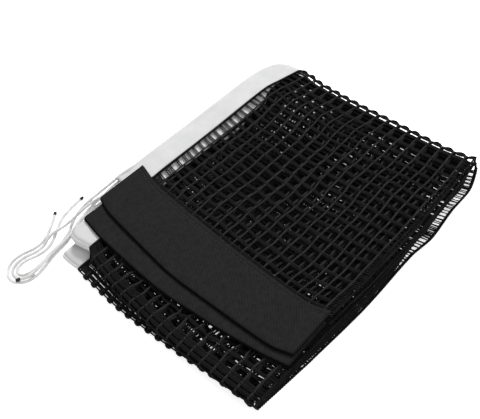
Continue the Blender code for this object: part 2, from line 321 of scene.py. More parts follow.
def cord_material():
    """White braid; its pattern follows the cord through the UV map, which is in millimetres."""
    cloth = Cloth("cord_braid", roughness=0.7, sheen=0.15, coordinates="UV")
    left = cloth.bands(0.95, "X", turn=math.radians(42.0))
    right = cloth.bands(0.95, "X", turn=math.radians(-42.0))
    braid = cloth.combine("MAXIMUM", left, right)
    cloth.colours(
        cloth.combine("MULTIPLY", braid, cloth.noise(6.0, detail=1.0)),
        (0.1, (0.44, 0.44, 0.44)), (0.6, (0.70, 0.70, 0.70)),
    )
    cloth.raise_by(braid, 0.12)
    return cloth.material


def tip_material(name, dark, light):
    """Cord end melted hard: uneven and a little glossy."""
    cloth = Cloth(name, roughness=0.35)
    cloth.colours(cloth.noise(0.7, detail=4.0), (0.3, dark), (0.7, light))
    cloth.raise_by(cloth.noise(0.5), 0.15)
    return cloth.material


def floor_material():
    """White sheet of a light table."""
    cloth = Cloth("floor", roughness=0.9)
    cloth.colours(cloth.noise(60.0), (0.3, (0.90, 0.90, 0.90)), (0.7, (0.92, 0.92, 0.92)))
    cloth.shader.inputs["Emission Color"].default_value = (1.0, 1.0, 1.0, 1.0)
    cloth.shader.inputs["Emission Strength"].default_value = FLOOR_GLOW
    return cloth.material


# ==== Meshes ====
class Threads:
    """Collects tubes and turns them into one mesh."""

    def __init__(self):
        self.points = []
        self.faces = []
        self.kinds = []
        self.total = 0

    def tubes(self, rings, kind=0):
        """Adds tubes from [tube, station, point of the section, xyz] in millimetres, with
        material number kind."""
        count, stations, sides, _ = rings.shape
        index = self.total + np.arange(count * stations * sides).reshape(rings.shape[:3])
        after = np.roll(index, -1, axis=2)
        quads = np.stack([index[:, :-1], after[:, :-1], after[:, 1:], index[:, 1:]], axis=-1)
        caps = np.concatenate([index[:, 0, ::-1], index[:, -1]])
        across = np.roll(rings, -1, axis=2)[:, :-1] - rings[:, :-1]
        along = rings[:, 1:] - rings[:, :-1]
        outward = rings[:, :-1] - rings[:, :-1].mean(axis=2, keepdims=True)
        if (np.cross(across, along) * outward).sum() < 0:
            quads = quads[..., ::-1]
            caps = caps[:, ::-1]
        self.points.append(rings.reshape(-1, 3))
        self.faces += [quads.reshape(-1, 4), caps]
        self.kinds += [kind, kind]
        self.total += count * stations * sides

    def piece(self, name, materials):
        """The finished mesh as an object in the scene."""
        points = np.concatenate(self.points) * MM
        mesh = bpy.data.meshes.new(name)
        mesh.vertices.add(len(points))
        mesh.vertices.foreach_set("co", points.astype(np.float32).ravel())
        corners = np.concatenate([f.ravel() for f in self.faces])
        sizes = np.concatenate([np.full(len(f), f.shape[1]) for f in self.faces])
        kinds = np.concatenate([np.full(len(f), k) for f, k in zip(self.faces, self.kinds)])
        mesh.loops.add(len(corners))
        mesh.loops.foreach_set("vertex_index", corners.astype(np.int32))
        mesh.polygons.add(len(sizes))
        starts = np.concatenate([[0], np.cumsum(sizes)[:-1]])
        mesh.polygons.foreach_set("loop_start", starts.astype(np.int32))
        mesh.polygons.foreach_set("loop_total", sizes.astype(np.int32))
        mesh.polygons.foreach_set("material_index", kinds.astype(np.int32))
        mesh.polygons.foreach_set("use_smooth", np.full(len(sizes), True))
        mesh.update(calc_edges=True)
        for material in materials:
            mesh.materials.append(material)
        return add_object(name, mesh)


def smooth_curve(*knots):
    """A function that passes smoothly through (position, value) knots without overshooting."""
    at, value = np.array(knots, float).T
    secant = np.diff(value) / np.diff(at)
    slope = np.zeros(len(at))
    slope[0] = secant[0]
    slope[-1] = secant[-1]
    same = secant[:-1] * secant[1:] > 0
    mean = 2 * secant[:-1] * secant[1:] / np.where(same, secant[:-1] + secant[1:], 1.0)
    slope[1:-1] = np.where(same, mean, 0.0)

    def read(x):
        x = np.clip(x, at[0], at[-1])
        i = np.clip(np.searchsorted(at, x, side="right") - 1, 0, len(at) - 2)
        width = at[i + 1] - at[i]
        t = (x - at[i]) / width
        return (
            value[i] * (1 + 2 * t) * (1 - t) ** 2
            + slope[i] * width * t * (1 - t) ** 2
            + value[i + 1] * t ** 2 * (3 - 2 * t)
            + slope[i + 1] * width * t ** 2 * (t - 1)
        )

    return read


def smooth_step(t):
    t = np.clip(t, 0.0, 1.0)
    return t * t * (3 - 2 * t)


def angles_round(sides):
    """Angles of the points round a section."""
    return 2 * math.pi * np.arange(sides) / sides


def section(width, thickness, sides):
    """An ellipse as offsets [point, (across, lift)]."""
    angles = 2 * math.pi * (np.arange(sides) + 0.5) / sides
    return np.stack([width / 2 * np.cos(angles), thickness / 2 * np.sin(angles)], axis=1)


# ==== Surfaces ====
# A point of cloth is (share of the way along X, distance from the tape's outer edge,
# lift above the cloth's middle). Rows are distances from the tape's outer edge
FIRST_CHAIN = TAPE_WIDTH + SELVEDGE_WIDTH + LADDER_HEIGHT
LAST_CHAIN = NET_HEIGHT - HEM_STRAND_WIDTH - HEM_LADDER_HEIGHT
CHAIN_ROWS = np.linspace(FIRST_CHAIN, LAST_CHAIN, MESH_ROWS + 1)
# Rows at which a ply's sides are read for its mean width
SIDE_ROWS = np.linspace(0, NET_HEIGHT, 20)
# Cross strands gathered near the right and the left fold, in millimetres from it, and how far
# the others keep off
GATHERED = (0.3, 3.6)
GATHERED_LEFT = (0.9, 3.6)
CLEAR_OF_FOLD = 5.0
# How far each ply's cross strands are shifted against those above, in meshes
COLUMN_STEP = 0.742

# How far each ply is shifted as a share of its depth under the top one
LEAN = -0.03
TOP_LEVEL = 12.6
# How far each ply is pulled about by itself, and how much more to the left of an x
OWN_WAVE = 0.38
CRUMPLE = 0.5
CRUMPLED_FROM, CRUMPLED_OVER = -45.0, 20.0
# The waves that pull the cloth: whose they are, height, the lengths in x and v that turn them by
# one radian, and their phase or which of the ply's own phases
WAVES_IN_X = (
    ("all", 1.0, 41.0, 15.0, 4.0),
    ("all", 0.45, -29.0, 6.1, 1.3),
    ("own", 1.0, -23.0, 10.0, 3),
    ("own", 0.7, 5.1, 2.9, 4),
    ("crumple", 1.2, 2.7, 1.9, 0),
)
WAVES_IN_Y = (
    ("all", 1.0, 17.0, 39.0, 2.1),
    ("all", 0.5, 7.3, -23.0, 0.4),
    ("own", 1.0, 11.0, -31.0, 1),
    ("own", 0.7, 3.1, 4.3, 2),
    ("crumple", 1.0, 1.7, -2.3, 4),
)
# The waves grow from 0 at a ply's left and right side over 1/12 and 1/6 of its length
GROWTH_LEFT, GROWTH_RIGHT = 12, 6
# Height of the ripple, and its lengths in x and y
RIPPLE = (0.22, 13.0, 17.0)
# How far a tape dips where it runs on to the left of its ply, over this share of the length
DIP, DIP_OVER = 0.6, 0.05
# Threads lower than this are pressed flat on the floor
FLAT_BELOW = 0.15

# Where the cloth turns at each fold, or ends under a sleeve: x against the row
FOLDS = {
    "top_outer": smooth_curve(
        (0, 91.2), (2, 94.1), (4.5, 96.5), (8.5, 98.3), (16, 98.8), (24, 98.9), (39, 96.6),
        (71, 95.8), (97, 96.4), (126, 96.8), (141, 98.0), (152.5, 100.8),
    ),
    "top_inner": smooth_curve(
        (0, 86.0), (2, 90.0), (8, 94.0), (16, 95.5), (40, 95.2), (71, 94.4), (126, 95.6),
        (152.5, 99.0),
    ),
    "bottom_outer": smooth_curve(
        (0, 90.0), (2, 93.6), (6, 95.6), (16, 96.0), (40, 95.9), (90, 96.0), (128, 98.2),
        (142, 101.6), (152.5, 104.8),
    ),
    "bottom_inner": smooth_curve(
        (0, 87.0), (2, 91.0), (6, 93.6), (16, 94.4), (40, 94.3), (90, 94.4), (128, 96.6),
        (142, 100.0), (152.5, 104.0),
    ),
    "middle_outer": smooth_curve(
        (0, -86.0), (2.5, -89.6), (6, -90.2), (16, -88.4), (20.5, -91.4), (32, -94.0),
        (60, -96.4), (90, -96.8), (125, -95.0), (152.5, -92.4),
    ),
    "middle_inner": smooth_curve(
        (0, -84.0), (2.5, -87.6), (6, -88.2), (16, -86.4), (20.5, -89.4), (32, -92.2),
        (60, -94.6), (90, -95.0), (125, -93.4), (152.5, -90.8),
    ),
    "net_bend": smooth_curve(
        (0, -98.4), (1.5, -99.8), (8, -100.1), (16, -99.6), (50, -100.3), (80, -98.4),
        (110, -95.3), (130, -92.6), (152.5, -91.5),
    ),
    "sleeve_a": smooth_curve(
        (0, -33.0), (10, -34.0), (28, -38.0), (50, -39.6), (78, -40.6), (100, -41.4),
        (122, -41.4), (140, -40.2), (152.5, -37.0),
    ),
    "sleeve_b": smooth_curve((0, -43.0), (60, -46.0), (110, -46.0), (152.5, -40.0)),
}

# Each ply's left and right side, and the lines of its tape's outer edge, its tape's inner edge
# and its hem: y against x
PLIES = {
    "1a": ("sleeve_a", "top_outer",
        ((-48, 81.6), (66, 81.25), (74.5, 80.9), (84, 79.4), (92, 76.6), (101, 73.0)),
        ((-48, 65.3), (54, 65.25), (69, 65.1), (86.5, 61.6), (101, 58.4)),
        ((-42, -70.6), (-6, -72.6), (34, -74.2), (64, -74.0), (104, -73.0)),
    ),
    "1b": ("sleeve_b", "top_inner",
        ((-48, 78.2), (-34, 77.2), (-20, 74.0), (4, 73.2), (54, 73.0), (74, 76.6), (96, 75.0)),
        ((-48, 61.2), (-34, 60.6), (-20, 58.0), (4, 57.2), (54, 57.0), (74, 62.6), (96, 61.4)),
        ((-46, -72.0), (4, -75.6), (54, -76.6), (100, -74.0)),
    ),
    "2b": ("middle_outer", "top_inner",
        ((-90, 74.2), (-36, 74.0), (4, 73.0), (26, 70.8), (46, 72.8), (76, 77.4), (96, 75.4)),
        ((-90, 57.2), (-36, 57.6), (4, 57.0), (26, 54.2), (46, 56.8), (76, 63.2), (96, 61.8)),
        ((-94, -71.0), (4, -76.4), (54, -77.0), (100, -74.0)),
    ),
    "2a": ("middle_inner", "top_outer",
        ((-90, 73.6), (-36, 73.2), (4, 73.0), (54, 72.6), (78, 76.8), (101, 74.5)),
        ((-90, 56.8), (-36, 57.2), (4, 57.0), (54, 56.6), (78, 63.0), (101, 61.0)),
        ((-94, -71.0), (4, -77.0), (54, -76.6), (104, -73.6)),
    ),
    "3a": ("middle_inner", "bottom_outer",
        ((-90, 73.2), (-36, 72.8), (4, 72.6), (54, 72.2), (80, 76.4), (101, 74.0)),
        ((-90, 56.6), (-36, 56.8), (4, 56.6), (54, 56.2), (80, 62.6), (101, 60.6)),
        ((-94, -71.0), (4, -77.6), (30, -77.0), (54, -76.6), (104, -73.4)),
    ),
    "3b": ("middle_outer", "bottom_inner",
        ((-90, 72.8), (-36, 72.4), (4, 72.2), (54, 71.8), (80, 76.0), (99, 74.0)),
        ((-90, 56.2), (-36, 56.4), (4, 56.2), (54, 55.8), (80, 62.2), (99, 60.4)),
        ((-94, -71.0), (4, -78.0), (30, -76.4), (54, -76.0), (104, -73.0)),
    ),
    "4b": ("net_bend", "bottom_inner",
        ((-101, 70.0), (-56, 71.6), (4, 71.8), (54, 71.2), (80, 75.4), (99, 73.6)),
        ((-101, 55.8), (-56, 55.8), (4, 55.8), (54, 55.2), (80, 61.8), (99, 60.0)),
        (
            (-94, -71.0), (-60, -75.0), (-9, -78.9), (24, -79.5), (44, -81.8), (69, -80.4),
            (84, -80.7), (100, -77.2), (106, -75.0),
        ),
    ),
    "4a": ("net_bend", "bottom_outer",
        ((-101, 69.6), (-56, 71.2), (4, 71.25), (54, 71.0), (80, 75.0), (102, 73.2)),
        ((-101, 55.4), (-56, 55.4), (4, 55.25), (54, 55.0), (80, 61.4), (102, 59.6)),
        (
            (-94, -70.8), (-60, -74.5), (-9, -78.0), (24, -78.6), (44, -81.1), (69, -79.6),
            (84, -80.0), (100, -76.4), (106, -74.2),
        ),
    ),
}


class Ply:
    """One layer of the folded net, as a surface that threads are laid on."""

    def __init__(self, name, left, right, outer, inner, hem):
        self.panel = "panel_" + name[0]
        self.left = FOLDS[left]
        self.right = FOLDS[right]
        self.outer = smooth_curve(*outer)
        self.inner = smooth_curve(*inner)
        self.hem = smooth_curve(*hem)
        low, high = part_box("net_panel_" + name)
        self.level = (low.z + high.z) / 2 / MM
        self.order = list(PLIES).index(name)
        self.phases = 2 * math.pi * np.random.default_rng(20 + self.order).random(8)

    def span(self):
        """How far apart the ply's sides are."""
        return float((self.right(SIDE_ROWS) - self.left(SIDE_ROWS)).mean())

    def columns(self):
        """Where the cross strands are, as shares of the way along. All plies share one grid, and
        each is shifted against the one above, so that together they leave few open meshes."""
        left = self.left(SIDE_ROWS).mean()
        right = self.right(SIDE_ROWS).mean()
        step = COLUMN_STEP * self.order
        first = math.ceil((left + CLEAR_OF_FOLD) / MESH_PITCH - step)
        last = math.floor((right - CLEAR_OF_FOLD) / MESH_PITCH - step)
        x = (np.arange(first, last + 1) + step) * MESH_PITCH
        return (x - left) / (right - left)

    def wander(self, x, v):
        """How far the cloth is pulled out of its square grid, in x and y. The plies wave
        together, and each a little by itself, so that few meshes are open all the way down."""
        across = np.sin(math.pi * (v - TAPE_WIDTH) / (NET_HEIGHT - TAPE_WIDTH))
        fade = np.sqrt(np.clip(across, 0.0, 1.0))
        crumple = CRUMPLE * smooth_step((CRUMPLED_FROM - x) / CRUMPLED_OVER)
        strength = {"all": 1.0, "own": OWN_WAVE + crumple, "crumple": crumple}
        lean = LEAN * (TOP_LEVEL - self.level)
        pulls = []
        for waves in (WAVES_IN_X, WAVES_IN_Y):
            pull = 0.0
            for whose, height, along_x, along_v, phase in waves:
                if whose != "all":
                    phase = self.phases[phase]
                pull = pull + strength[whose] * height * np.sin(x / along_x + v / along_v + phase)
            pulls.append((pull + lean) * fade)
        return pulls

    def place(self, share, v, lift):
        """Points [..., xyz] in millimetres."""
        share, v, lift = np.broadcast_arrays(share, v, lift)
        left = self.left(v)
        x = left + (self.right(v) - left) * share
        inside = np.clip(v / TAPE_WIDTH, None, 1.0)
        below = np.clip((v - TAPE_WIDTH) / (NET_HEIGHT - TAPE_WIDTH), 0.0, None)
        outer = self.outer(x)
        inner = self.inner(x)
        y = outer + (inner - outer) * inside + (self.hem(x) - inner) * below
        dx, dy = self.wander(x, v)
        edge = np.clip(GROWTH_LEFT * share, 0, 1) * np.clip(GROWTH_RIGHT * (1 - share), 0, 1)
        height, along_x, along_y = RIPPLE
        p, q = self.phases[5:7]
        ripple = height * np.sin(x / along_x + p) * np.sin(y / along_y + q)
        dip = DIP * smooth_step(-share / DIP_OVER)
        z = self.level + ripple * edge + lift - dip
        z = np.where(z < FLAT_BELOW, FLAT_BELOW * np.exp(z / FLAT_BELOW - 1.0), z)
        return np.stack([x + dx * edge, y + dy * edge, z], axis=-1)


# How much longer the way round a fold is than twice the bulge
ARC_DEPTH = 6.0


class Arc:
    """The turn of cloth round a fold, from the end of the upper ply to that of the lower."""

    def __init__(self, upper, lower, bulge, right_side):
        self.upper = upper
        self.lower = lower
        self.bulge = bulge
        self.right_side = right_side

    def turns(self, distance):
        """Millimetres round the fold as a share of the whole turn."""
        return distance / (2 * self.bulge + ARC_DEPTH)

    def place(self, turn, v, lift):
        turn, v, lift = np.broadcast_arrays(turn, v, lift)
        side = 1.0 if self.right_side else 0.0
        high = self.upper.place(side, v, 0.0)
        low = self.lower.place(side, v, 0.0)
        angle = math.pi * turn
        middle = (high + low) / 2
        radius = (high[..., 2] - low[..., 2]) / 2
        outwards = (self.bulge + lift) * np.sin(angle)
        x = middle[..., 0] + (outwards if self.right_side else -outwards)
        y = high[..., 1] + (low[..., 1] - high[..., 1]) * smooth_step(turn)
        z = middle[..., 2] + (radius + lift) * np.cos(angle)
        return np.stack([x, y, z], axis=-1)


# ==== Knitting ====
CHAIN_KIND = 0
YARN_KIND = 1
# The top ply and the plies below it: millimetres between stations and points of the sections
TOP_PLY = dict(chain=CHAIN, chain_spacing=0.8, chain_sides=8, strand_spacing=0.9, strand_sides=6)
LOWER_PLY = dict(
    chain=LOOSE_CHAIN, chain_spacing=1.4, chain_sides=6, strand_spacing=1.5, strand_sides=4,
)
EDGE_SPACING = 0.5
# How much a chain swells at a knot, and a winding strand's height as a share of its twist
KNOT_SWELL = 0.12
TWIST_HEIGHT = 0.7
# The selvedge and the edge of the hem: the row, and how far the two strands wind
EDGES = (
    (TAPE_WIDTH + SELVEDGE_WIDTH / 2, 0.58),
    (NET_HEIGHT - HEM_STRAND_WIDTH / 2, 0.28),
)
# A cross strand's outer yarns: how far from the middle one at a chain, and how much further
# between two chains; the middle one's height, and how much lower they are
YARN_APART = 0.44
YARN_SPREAD = 0.26
YARN_LIFT = 0.10
YARN_DROP = 0.16
# The pairs of yarns in the ladder at the tape, and where in its pitch a pair may be
PAIR_PITCH = 0.64 * MESH_PITCH
PAIR_HALF = 0.55
PAIR_PLACE = (0.3, 0.7)
PAIRS_FROM_LEFT = 1.6
LADDER_START = TAPE_WIDTH + 0.9
LADDER_STATIONS = 8
# The rungs of the hem's ladder, which is dense up to the first x here and between the next two
RUNG_PLACE = (0.1, 0.9)
RUNG_END = NET_HEIGHT - 0.6 * HEM_STRAND_WIDTH
DENSE_HEM = (14.0, 39.0, 49.0)
# Knots on the outermost line of a fold; their height is a share of their half length
KNOT_STATIONS = 7
KNOT_CLOSES = 0.96
KNOT_HEIGHT = 1.6
# The two yarns on that line: how far from it, as a share of the turn, and how they wander
FOLD_APART = 0.05
FOLD_WANDER, FOLD_WANDER_OVER = 0.04, 2.1
FOLD_FULLNESS = 0.8
FOLD_ROWS = np.linspace(TAPE_WIDTH + 1.0, NET_HEIGHT - 1.0, 300)
ARC_STATIONS = 9


def lay_along(threads, surface, rows, size, stations, sides, kind, knots=0, twist=0.0, phase=0.0):
    """Threads along the net, one for each row. They swell at each knot, and with a twist they
    wind to and fro and up and down once for each knot."""
    share = np.linspace(0.0, 1.0, stations)[None, :, None]
    rows = np.asarray(rows, float)[:, None, None]
    shape = section(*size, sides)
    turn = 2 * math.pi * share * knots + phase
    swell = 1.0 + (KNOT_SWELL * np.cos(turn) if knots and not twist else 0.0)
    sway = twist * np.sin(turn)
    heave = TWIST_HEIGHT * twist * np.cos(turn)
    rings = surface.place(share, rows + sway + shape[:, 0] * swell, heave + shape[:, 1] * swell)
    threads.tubes(rings, kind)


def lay_across(threads, surface, columns, width, start, end, size, stations, sides, kind,
               sway=None, lift=0.0):
    """Threads across the net, one for each column; width turns millimetres into shares."""
    v = np.linspace(start, end, stations)[None, :, None]
    columns = np.asarray(columns, float)[:, None, None]
    shape = section(*size, sides)
    offset = sway(v) if sway else 0.0
    rings = surface.place(columns + (offset + shape[:, 0]) / width, v, lift + shape[:, 1])
    threads.tubes(rings, kind)


def mesh_bulge(v):
    """From 0 at a chain to 1 halfway between two chains."""
    pitch = CHAIN_ROWS[1] - CHAIN_ROWS[0]
    return np.abs(np.sin(math.pi * (v - FIRST_CHAIN) / pitch))


def lay_edges(threads, surface, stations, knots):
    """The selvedge at the tape and the edge of the hem: each is two strands that entwine."""
    for row, twist in EDGES:
        for phase in (0.0, math.pi):
            lay_along(threads, surface, [row], EDGE_STRAND, stations, 6, YARN_KIND, knots, twist,
                      phase)


def knit_ply(ply):
    """The net of one ply: chains along it, cross strands of fine yarn, two ladders, two edges."""
    threads = Threads()
    width = ply.span()
    meshes = round(width / MESH_PITCH)
    rungs = meshes * RUNGS_PER_MESH
    detail = TOP_PLY if ply.order == 0 else LOWER_PLY
    sides = detail["strand_sides"]
    lay_along(threads, ply, CHAIN_ROWS, detail["chain"], int(width / detail["chain_spacing"]),
              detail["chain_sides"], CHAIN_KIND, meshes)
    lay_edges(threads, ply, int(width / EDGE_SPACING), rungs)

    gathered = np.array(GATHERED) / width
    gathered_left = np.array(GATHERED_LEFT) / width
    columns = np.concatenate([gathered_left, ply.columns(), 1.0 - gathered])
    stations = int((LAST_CHAIN - FIRST_CHAIN) / detail["strand_spacing"])
    for yarn in (-1, 0, 1):
        lay_across(
            threads, ply, columns, width, FIRST_CHAIN, LAST_CHAIN, YARN, stations, sides,
            YARN_KIND, sway=lambda v: yarn * (YARN_APART + YARN_SPREAD * mesh_bulge(v)),
            lift=YARN_LIFT - YARN_DROP * abs(yarn),
        )

    random = np.random.default_rng(40 + ply.order)
    pairs = round(width / PAIR_PITCH)
    pair_places = np.concatenate([
        gathered_left,
        gathered_left * PAIRS_FROM_LEFT,
        (np.arange(pairs) + random.uniform(*PAIR_PLACE, pairs)) / pairs,
        1.0 - gathered / 2,
    ])
    for side in (-PAIR_HALF, PAIR_HALF):
        lay_across(
            threads, ply, pair_places, width, LADDER_START, FIRST_CHAIN, LADDER_YARN,
            LADDER_STATIONS, sides, YARN_KIND, sway=lambda v: side,
        )

    rung_places = (np.arange(rungs) + random.uniform(*RUNG_PLACE, rungs)) / rungs
    at = ply.place(rung_places, LAST_CHAIN, 0.0)[:, 0]
    dense = (at < DENSE_HEM[0]) | ((at > DENSE_HEM[1]) & (at < DENSE_HEM[2]))
    rung_places = np.concatenate([rung_places, rung_places[dense] + 0.5 / rungs])
    lay_across(threads, ply, rung_places, width, LAST_CHAIN, RUNG_END, RUNG, LADDER_STATIONS,
               sides, YARN_KIND)
    return threads


def tie_knots(threads, arc, reach, inner, outer):
    """A knot on each chain at the fold's outermost line: half its length along that line, and how
    far inside and outside of the line it starts and ends."""
    along = np.linspace(-1.0, 1.0, KNOT_STATIONS)
    v = (CHAIN_ROWS[:, None] + reach * along)[:, :, None]
    fullness = np.sqrt(1.0 - KNOT_CLOSES * along ** 2)[None, :, None]
    shape = section(KNOT_HEIGHT * reach, outer - inner, 8)
    turn = 0.5 + arc.turns(shape[:, 0] * fullness)
    lift = (inner + outer) / 2 + shape[:, 1] * fullness
    threads.tubes(arc.place(turn, v, lift), YARN_KIND)


def knit_arc(arc, lens, knots):
    """The threads of one half of the net round one fold. On the outside of a fold a cross strand
    runs along its outermost line; lens is how far it stands off between two chains."""
    threads = Threads()
    lay_along(threads, arc, CHAIN_ROWS, CHAIN, ARC_STATIONS, 8, CHAIN_KIND)
    lay_edges(threads, arc, ARC_STATIONS, 1)
    if lens is None:
        return threads
    v = FOLD_ROWS[None, :, None]
    shape = section(*FOLD_YARN, 6)
    for yarn in (-1, 1):
        turn = 0.5 + FOLD_APART * yarn + arc.turns(shape[:, 0])
        if not arc.right_side:
            phase = arc.upper.phases[0]
            turn = turn + FOLD_WANDER * yarn * np.sin(v / FOLD_WANDER_OVER + phase + yarn)
        stand_off = lens * mesh_bulge(v) ** FOLD_FULLNESS
        threads.tubes(arc.place(turn, v, stand_off + shape[:, 1]), YARN_KIND)
    if knots:
        tie_knots(threads, arc, *knots)
    return threads


# ==== Folded cloth ====
# The tape and the sleeves are strips folded in half, with the net's edge between
def folded_section(upper, wall):
    """A strip of cloth folded in half, as [point, (distance from its fold, height)]. upper is the
    outline of its upper face, from the fold to its open side."""
    inner = upper.copy()
    inner[:, 0] = np.maximum(inner[:, 0], wall)
    inner[:, 1] = np.maximum(upper[:, 1] - wall, 0.03)
    inner = inner[upper[:, 0] >= wall]
    down = (1.0, -1.0)
    return np.concatenate([upper[::-1], upper * down, inner[::-1] * down, inner])


# ==== Tape ====
TAPE_WALL = 0.22
TAPE_STATIONS = 70
TAPE_ARC_STATIONS = 13
# Ply 1a's tape runs on under sleeve a by this share of its length. Right of the x here its outer
# roll closes round cord 1
UNDER_SLEEVE = 0.11
TAPE_END_X = -48.0
ROLL_RADIUS = 1.3
ROLL_FLATNESS = 0.9
ROLL_SPACING = 0.8


def tape_section():
    """The tape swells over its two flat cords, and is pressed together on the net's edge."""
    top = smooth_curve(
        (0.0, 0.0), (0.25, 0.34), (1.0, 0.50), (2.2, 0.66), (3.6, 0.52), (5.4, 0.64),
        (7.2, 0.46), (10.0, 0.36), (14.6, 0.34), (15.2, 0.27), (15.8, 0.34), (16.0, 0.18),
    )
    across = np.array([0.05, 0.3, 0.8, 1.6, 2.4, 3.2, 4.2, 5.4, 6.6, 7.8, 10.0, 12.5, 14.4,
                       15.2, 15.7, 16.0])
    return folded_section(np.stack([across, top(across)], axis=1), TAPE_WALL)


def weave_tape(surface, start, stations):
    """The tape along a surface, from that share of the way to its far side."""
    threads = Threads()
    share = np.linspace(start, 1.0, stations)[None, :, None]
    shape = tape_section()
    threads.tubes(surface.place(share, shape[:, 0], shape[:, 1]))
    return threads


def cover_cord(threads, points):
    """The end of the tape's outer roll, closed round a cord."""
    _, side, lift = frames_along(points)
    angle = angles_round(16)
    across = ROLL_RADIUS * np.cos(angle)
    up = ROLL_FLATNESS * ROLL_RADIUS * np.sin(angle)
    threads.tubes(rings_round(points, side, lift, across, up))


# ==== Post sleeves ====
# Height, how far the left edge curls up, and the left and the right edge: x against y
SLEEVES = {
    "a": dict(
        level=13.0, curl=0.25,
        left=((-69.4, -64.6), (-57.4, -68.4), (-42.7, -69.8), (-22.6, -71.0), (7.0, -72.4),
              (22.8, -71.4), (45.3, -69.4), (63.0, -67.6), (76.2, -64.0)),
        right=((-69.4, -34.6), (-55.9, -38.3), (-36.3, -38.9), (-14.9, -38.8), (8.7, -38.0),
               (33.9, -37.0), (56.5, -35.3), (76.2, -30.4)),
    ),
    "b": dict(
        level=10.95, curl=0.3,
        left=((-70.8, -69.8), (-55.9, -73.6), (-19.5, -79.3), (12.3, -82.2), (54.5, -81.0),
              (73.6, -78.6)),
        right=((-70.8, -40.0), (-55.9, -42.0), (-19.5, -46.5), (12.3, -49.0), (54.5, -47.0),
               (73.6, -44.0)),
    ),
}
SLEEVE_CLOTH = 0.45
SLEEVE_WIDTH = 32.0
SLEEVE_STATIONS = 110
# The seam's distance from the left edge
GROOVE = SLEEVE_WIDTH - 3.2
# The upper cloth rises between its left edge and the seam: mean height, then a puff's and a
# wrinkle's height and lengths along y and across. The left edge curls up
RISE_OVER = 5
RISE = 0.22
PUFF = (0.16, 19.0, 7.0)
WRINKLE = (0.07, 4.3, 9.0)
CURL_OVER = 8.0
# A near-black strip of painted shadow under each sleeve's left edge: width and thickness, and its
# place
SHADOW_STRIP = (1.1, 0.5)
SHADOW_STRIP_ACROSS, SHADOW_STRIP_HEIGHT = -0.05, -0.62
SHADOW_STRIP_SHORTER = 0.2
# The seam's stitches, and how far from the sleeve's ends they start and stop
STITCH_PITCH, STITCH_LENGTH = 2.6, 1.9
STITCHES_START, STITCHES_STOP = 1.5, 3.0
STITCH_HEIGHT, STITCH_ARCH = 0.40, 0.16


def sleeve_section():
    """Upper outline of the flattened tube as [point, (distance from its left edge, height)]."""
    fold = [(0.0, 0.0), (0.15, 0.28), (0.5, 0.46), (1.1, 0.56)]
    face = [(across, 0.62) for across in np.linspace(2.0, GROOVE - 1.2, 12)]
    stitched = [
        (GROOVE - 0.6, 0.58), (GROOVE - 0.2, 0.40), (GROOVE, 0.34), (GROOVE + 0.2, 0.40),
        (GROOVE + 0.6, 0.60), (GROOVE + 1.6, 0.62), (SLEEVE_WIDTH - 0.6, 0.58),
        (SLEEVE_WIDTH - 0.2, 0.42), (SLEEVE_WIDTH, 0.12),
    ]
    return np.array(fold + face + stitched)


class Sleeve:
    """A post sleeve, pressed flat, as a surface."""

    def __init__(self, half, level, curl, left, right):
        self.level = level
        self.curl = curl
        self.left = smooth_curve(*left)
        self.right = smooth_curve(*right)
        self.low = left[0][0]
        self.high = left[-1][0]
        self.phases = 2 * math.pi * np.random.default_rng(70 + ord(half)).random(6)

    def place(self, y, across, height):
        """across is the distance from the left edge; height is above the sleeve's middle."""
        y, across, height = np.broadcast_arrays(y, across, height)
        left = self.left(y)
        x = left + (self.right(y) - left) * across / SLEEVE_WIDTH
        inside = np.clip(across / RISE_OVER, 0, 1) * np.clip((GROOVE - across) / RISE_OVER, 0, 1)
        first, second, third = self.phases[:3]
        most, along, over = PUFF
        puff = RISE + most * np.sin(y / along + first) * np.sin(across / over + second)
        most, along, over = WRINKLE
        wrinkle = most * np.sin(y / along + across / over + third)
        rise = inside * (puff + wrinkle) * (height > 0)
        rise = rise + self.curl * smooth_step((CURL_OVER - across) / CURL_OVER)
        return np.stack([x, y, self.level + height + rise], axis=-1)


def sew_sleeve(sleeve):
    """The cloth, the stitches and the near-black strip of painted shadow under the left edge, with
    materials 0, 1 and 2.
    """
    threads = Threads()
    shape = folded_section(sleeve_section(), SLEEVE_CLOTH)
    y = np.linspace(sleeve.low, sleeve.high, SLEEVE_STATIONS)[None, :, None]
    threads.tubes(sleeve.place(y, shape[:, 0], shape[:, 1]), 0)
    # A near-black tube along the underside of the left edge: painted shadow.
    ends = (sleeve.low + SHADOW_STRIP_SHORTER, sleeve.high - SHADOW_STRIP_SHORTER)
    y = np.linspace(*ends, SLEEVE_STATIONS)[None, :, None]
    oval = section(*SHADOW_STRIP, 8)
    threads.tubes(sleeve.place(y, SHADOW_STRIP_ACROSS + oval[:, 0], SHADOW_STRIP_HEIGHT + oval[:, 1]), 2)

    starts = np.arange(sleeve.low + STITCHES_START, sleeve.high - STITCHES_STOP, STITCH_PITCH)
    steps = np.linspace(0, 1, 7)
    y = (starts[:, None] + STITCH_LENGTH * steps)[:, :, None]
    arch = (STITCH_HEIGHT + STITCH_ARCH * np.sin(math.pi * steps))[None, :, None]
    oval = section(*SEAM_THREAD, 6)
    threads.tubes(sleeve.place(y, GROOVE + oval[:, 0], arch + oval[:, 1]), 1)
    return threads


# ==== Cords ====
ROUTE_STEPS = 16
# The braid: the pitch of its strands, its ground's depth and its strands' height
BRAID_SPACING = 0.45
BRAID_SIDES = 16
BRAID_PITCH = 3.6
BRAID_GROUND = 0.05
BRAID_STRAND = 0.07
# The tips: their outline is (share of the length, share of the radius)
TIP_CLEARANCE = 0.05
TIP_PROFILE = (
    (0.0, 0.80), (0.10, 0.96), (0.35, 1.0), (0.65, 0.97), (0.85, 0.86), (0.97, 0.6), (1.0, 0.25),
)
TIP_LUMPS = 0.05


